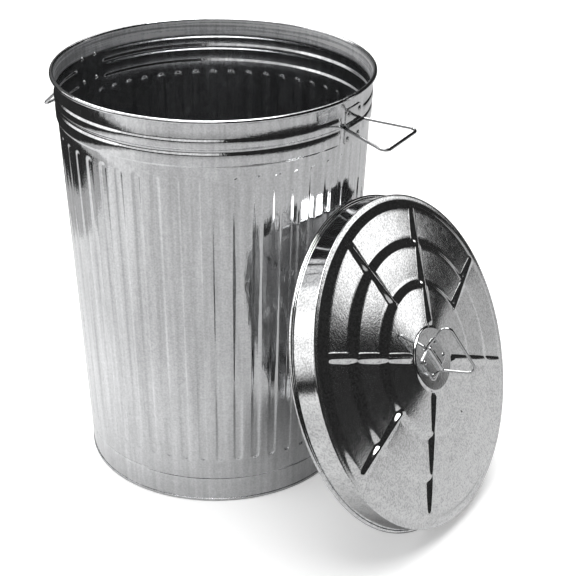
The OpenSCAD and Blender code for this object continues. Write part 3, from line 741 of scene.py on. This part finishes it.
def makeLidHandle():
    place = lidPlace @ shift(0, 0, bossHeight) @ rotation(math.radians(lidHandle["clipTurn"] - 90), "Z")
    bm = bmesh.new()
    clipPlate(bm, lidHandle["clipWidth"], lidHandle["clipHeight"], lidHandle["wire"], 0)
    finishPiece(bm, "lidClip", "lid", clipZinc, "lid_handle_clip", place,
                wall=handle["clipSheet"], soften=handle["clipSoften"])
    bm = bmesh.new()
    grip = lid["sheet"] + can["lapGap"] + handle["clipSheet"]
    for x in (-lidHandle["rivetUp"] / 2, lidHandle["rivetUp"] / 2):
        for y in (-lidHandle["rivetAcross"] / 2, lidHandle["rivetAcross"] / 2):
            addRivet(bm, place @ shift(x, y, -lid["sheet"]), grip)
    finishPiece(bm, "lidRivets", "lid", rivetZinc, "lid_clip_rivets")
    bm = bmesh.new()
    handleWire(bm, lidHandle["wire"], lidHandle["clipWidth"], lidHandle["reach"], lidHandle["width"],
               lidHandle["corner"])
    swung = (place @ shift(0, 0, can["lapGap"] + lidHandle["wire"] / 2)
             @ rotation(math.radians(lidHandle["lean"] - 90), "Y"))
    finishPiece(bm, "lidHandle", "lid_handle", wireZinc, "lid_handle_bail", swung)


makeLidFace()
makeLidSkirt()
makeLidHandle()
print("lid made")

# the wires in the rolled edges keep their nodes' shapes
for nodeName in ("rim_wire", "lid_skirt_wire"):
    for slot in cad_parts[nodeName].material_slots:
        slot.material = wireZinc


# the paper that the metal mirrors: right, left, near and far each hold where a change starts, where it ends
# and its light, which is painted light in the paper's colour.
# The camera itself sees pale and lift.
paper = {
    "size": 15, "below": 0.0001, "light": 0.42, "dark": 0.02,
    "right": (0.65, 1.0, 0.40), "left": (-0.8, 0.1, 1.40), "near": (0.15, 0.75, 1.5), "far": (1.6, 2.2, 0.78),
    "edgeX": (-1.20, 1.95), "edgeY": (-2.6, 5.4), "edgeSoft": 0.04, "corner": -0.15, "cornerSoft": 0.1,
    "strip": -0.95, "stripLight": 0.56, "stripSoft": 0.02,
    "pale": 0.8, "lift": 0.35,
}


# pale paper on a dark floor; the camera itself sees a plain pale floor with the object's shadow
def makeFloor():
    bm = bmesh.new()
    bmesh.ops.create_grid(bm, x_segments=1, y_segments=1, size=paper["size"])
    mesh = bpy.data.meshes.new("floor")
    bm.to_mesh(mesh)
    bm.free()
    floor = bpy.data.objects.new("floor", mesh)
    floor.location.z = -paper["below"]
    scene.collection.objects.link(floor)
    material = bpy.data.materials.new("pale floor")
    material.use_nodes = True
    tree = material.node_tree
    tree.nodes.clear()
    net = NodeMaths(tree)
    x, y, z = net.split(tree.nodes.new("ShaderNodeTexCoord").outputs["Object"])
    reach = net.reach(x, y)
    (left, right), soft, stripSoft = paper["edgeX"], paper["edgeSoft"], paper["stripSoft"]
    corner = net.edge(net.maths("SUBTRACT", y, x), paper["corner"], paper["cornerSoft"])
    onPaper = net.maths("MAXIMUM", net.edge(x, right, soft, 1.0, 0.0), corner)
    onPaper = net.product(onPaper, net.edge(x, left, stripSoft),
                        net.edge(x, paper["strip"], stripSoft, paper["stripLight"], 1.0),
                        net.between(y, *paper["edgeY"], soft))
    # painted light: the mirrored paper is brighter near the can's foot and at the left, and darker far off
    start, end, light = paper["right"]
    level = net.ramp(x, start, end, paper["light"], light)
    start, end, light = paper["far"]
    level = net.product(level, net.ramp(reach, start, end, 1.0, light))
    for source, name in ((reach, "near"), (x, "left")):
        start, end, light = paper[name]
        level = net.product(level, net.ramp(source, start, end, light, 1.0))
    level = net.maths("MAXIMUM", net.product(level, onPaper), paper["dark"])
    paintedFloorLight = tree.nodes.new("ShaderNodeCombineColor")
    for channel in ("Red", "Green", "Blue"):
        tree.links.new(level, paintedFloorLight.inputs[channel])
    mirrored = tree.nodes.new("ShaderNodeBsdfDiffuse")
    tree.links.new(paintedFloorLight.outputs["Color"], mirrored.inputs["Color"])
    pale = tree.nodes.new("ShaderNodeBsdfDiffuse")
    pale.inputs["Color"].default_value = (paper["pale"], paper["pale"], paper["pale"], 1)
    lift = tree.nodes.new("ShaderNodeEmission")
    lift.inputs["Strength"].default_value = paper["lift"]
    seen = tree.nodes.new("ShaderNodeAddShader")
    tree.links.new(pale.outputs[0], seen.inputs[0])
    tree.links.new(lift.outputs[0], seen.inputs[1])
    path = tree.nodes.new("ShaderNodeLightPath")
    pick = tree.nodes.new("ShaderNodeMixShader")
    tree.links.new(path.outputs["Is Camera Ray"], pick.inputs["Fac"])
    tree.links.new(mirrored.outputs[0], pick.inputs[1])
    tree.links.new(seen.outputs[0], pick.inputs[2])
    out = tree.nodes.new("ShaderNodeOutputMaterial")
    tree.links.new(pick.outputs[0], out.inputs["Surface"])
    mesh.materials.append(material)


studio = {
    "wall": 0.022, "boxSoft": 0.02, "sideSoft": 0.001,
    # round soft boxes: turn, height, half width, level
    "boxes": ((0, 90, 24, 5.5), (125, 55, 25, 1.6)),
    # lit panels: turn, half width, lowest and highest edge, level, softness
    "panels": ((48.3, 3.9, 0.7, 13, 1.25, 0.006), (-156, 26, -1, 40, 1.05, 0.09),
               (-103, 50, 21, 60, 0.8, 0.07), (150, 30, 4, 42, 0.10, 0.08)),
    "keySpot": (-1.6, 0.6, 2.6), "keyTarget": (0.1, 0, 0.2), "keySize": 1.2, "keyPower": 18,
}


# a dark room with soft boxes overhead and high behind the can, and lit panels round it
def makeWorld():
    world = bpy.data.worlds.new("studio")
    scene.world = world
    world.use_nodes = True
    tree = world.node_tree
    net = NodeMaths(tree)
    x, y, z = net.split(tree.nodes.new("ShaderNodeTexCoord").outputs["Generated"])
    flat = net.reach(x, y)
    level = studio["wall"]
    for *angles, light in studio["boxes"]:
        turn, high, half = (math.radians(angle) for angle in angles)
        toBox = net.maths("ADD", net.product(x, math.cos(high) * math.cos(turn)),
                        net.product(y, math.cos(high) * math.sin(turn)))
        toBox = net.maths("ADD", toBox, net.product(z, math.sin(high)))
        lit = net.edge(toBox, math.cos(half), studio["boxSoft"])
        level = net.maths("MAXIMUM", level, net.product(lit, light))
    for *angles, light, soft in studio["panels"]:
        turn, half, low, high = (math.radians(angle) for angle in angles)
        ahead = net.maths("ADD", net.product(x, math.cos(turn)), net.product(y, math.sin(turn)))
        sideSoft = soft * math.sin(half) + studio["sideSoft"]
        lit = net.edge(net.maths("DIVIDE", ahead, flat), math.cos(half), sideSoft)
        lit = net.product(lit, net.between(z, math.sin(low), math.sin(high), soft))
        level = net.maths("ADD", level, net.product(lit, light))
    seen = tree.nodes.new("ShaderNodeLightPath").outputs["Is Camera Ray"]
    level = net.maths("ADD", net.product(level, net.maths("SUBTRACT", 1.0, seen)), seen)
    background = tree.nodes["Background"]
    background.inputs["Color"].default_value = (1, 1, 1, 1)
    tree.links.new(level, background.inputs["Strength"])


def makeKeyLight():
    data = bpy.data.lights.new("key", "AREA")
    data.size = studio["keySize"]
    data.energy = studio["keyPower"]
    lamp = bpy.data.objects.new("key", data)
    spot = Vector(studio["keySpot"])
    lamp.location = spot
    lamp.rotation_euler = (Vector(studio["keyTarget"]) - spot).to_track_quat("-Z", "Y").to_euler()
    scene.collection.objects.link(lamp)


# turn is in degrees, and yaw, pitch and roll are in radians
view = {
    "lens": 89.37, "distance": 2.12624, "height": 1.36211, "turn": 33.3, "yaw": 0.05539, "pitch": 0.47244,
    "roll": 0.00935,
}


def makeCamera():
    data = bpy.data.cameras.new("camera")
    data.sensor_width = 36.0
    data.lens = view["lens"]
    data.clip_end = 100
    camera = bpy.data.objects.new("camera", data)
    yaw, pitch, roll = view["yaw"], view["pitch"], view["roll"]
    spin = Matrix.Rotation(math.radians(view["turn"]), 3, "Z")
    ahead = Vector((math.sin(yaw) * math.cos(pitch), math.cos(yaw) * math.cos(pitch), -math.sin(pitch)))
    forward = spin @ ahead
    level = spin @ Vector((math.cos(yaw), -math.sin(yaw), 0))
    above = level.cross(forward)
    right = math.cos(roll) * level + math.sin(roll) * above
    up = -math.sin(roll) * level + math.cos(roll) * above
    place = Matrix((right, up, -forward)).transposed().to_4x4()
    place.translation = spin @ Vector((0, -view["distance"], view["height"]))
    camera.matrix_world = place
    scene.collection.objects.link(camera)
    scene.camera = camera


makeFloor()
makeWorld()
makeKeyLight()
makeCamera()
scene.view_settings.view_transform = "Standard"
print("stage set")
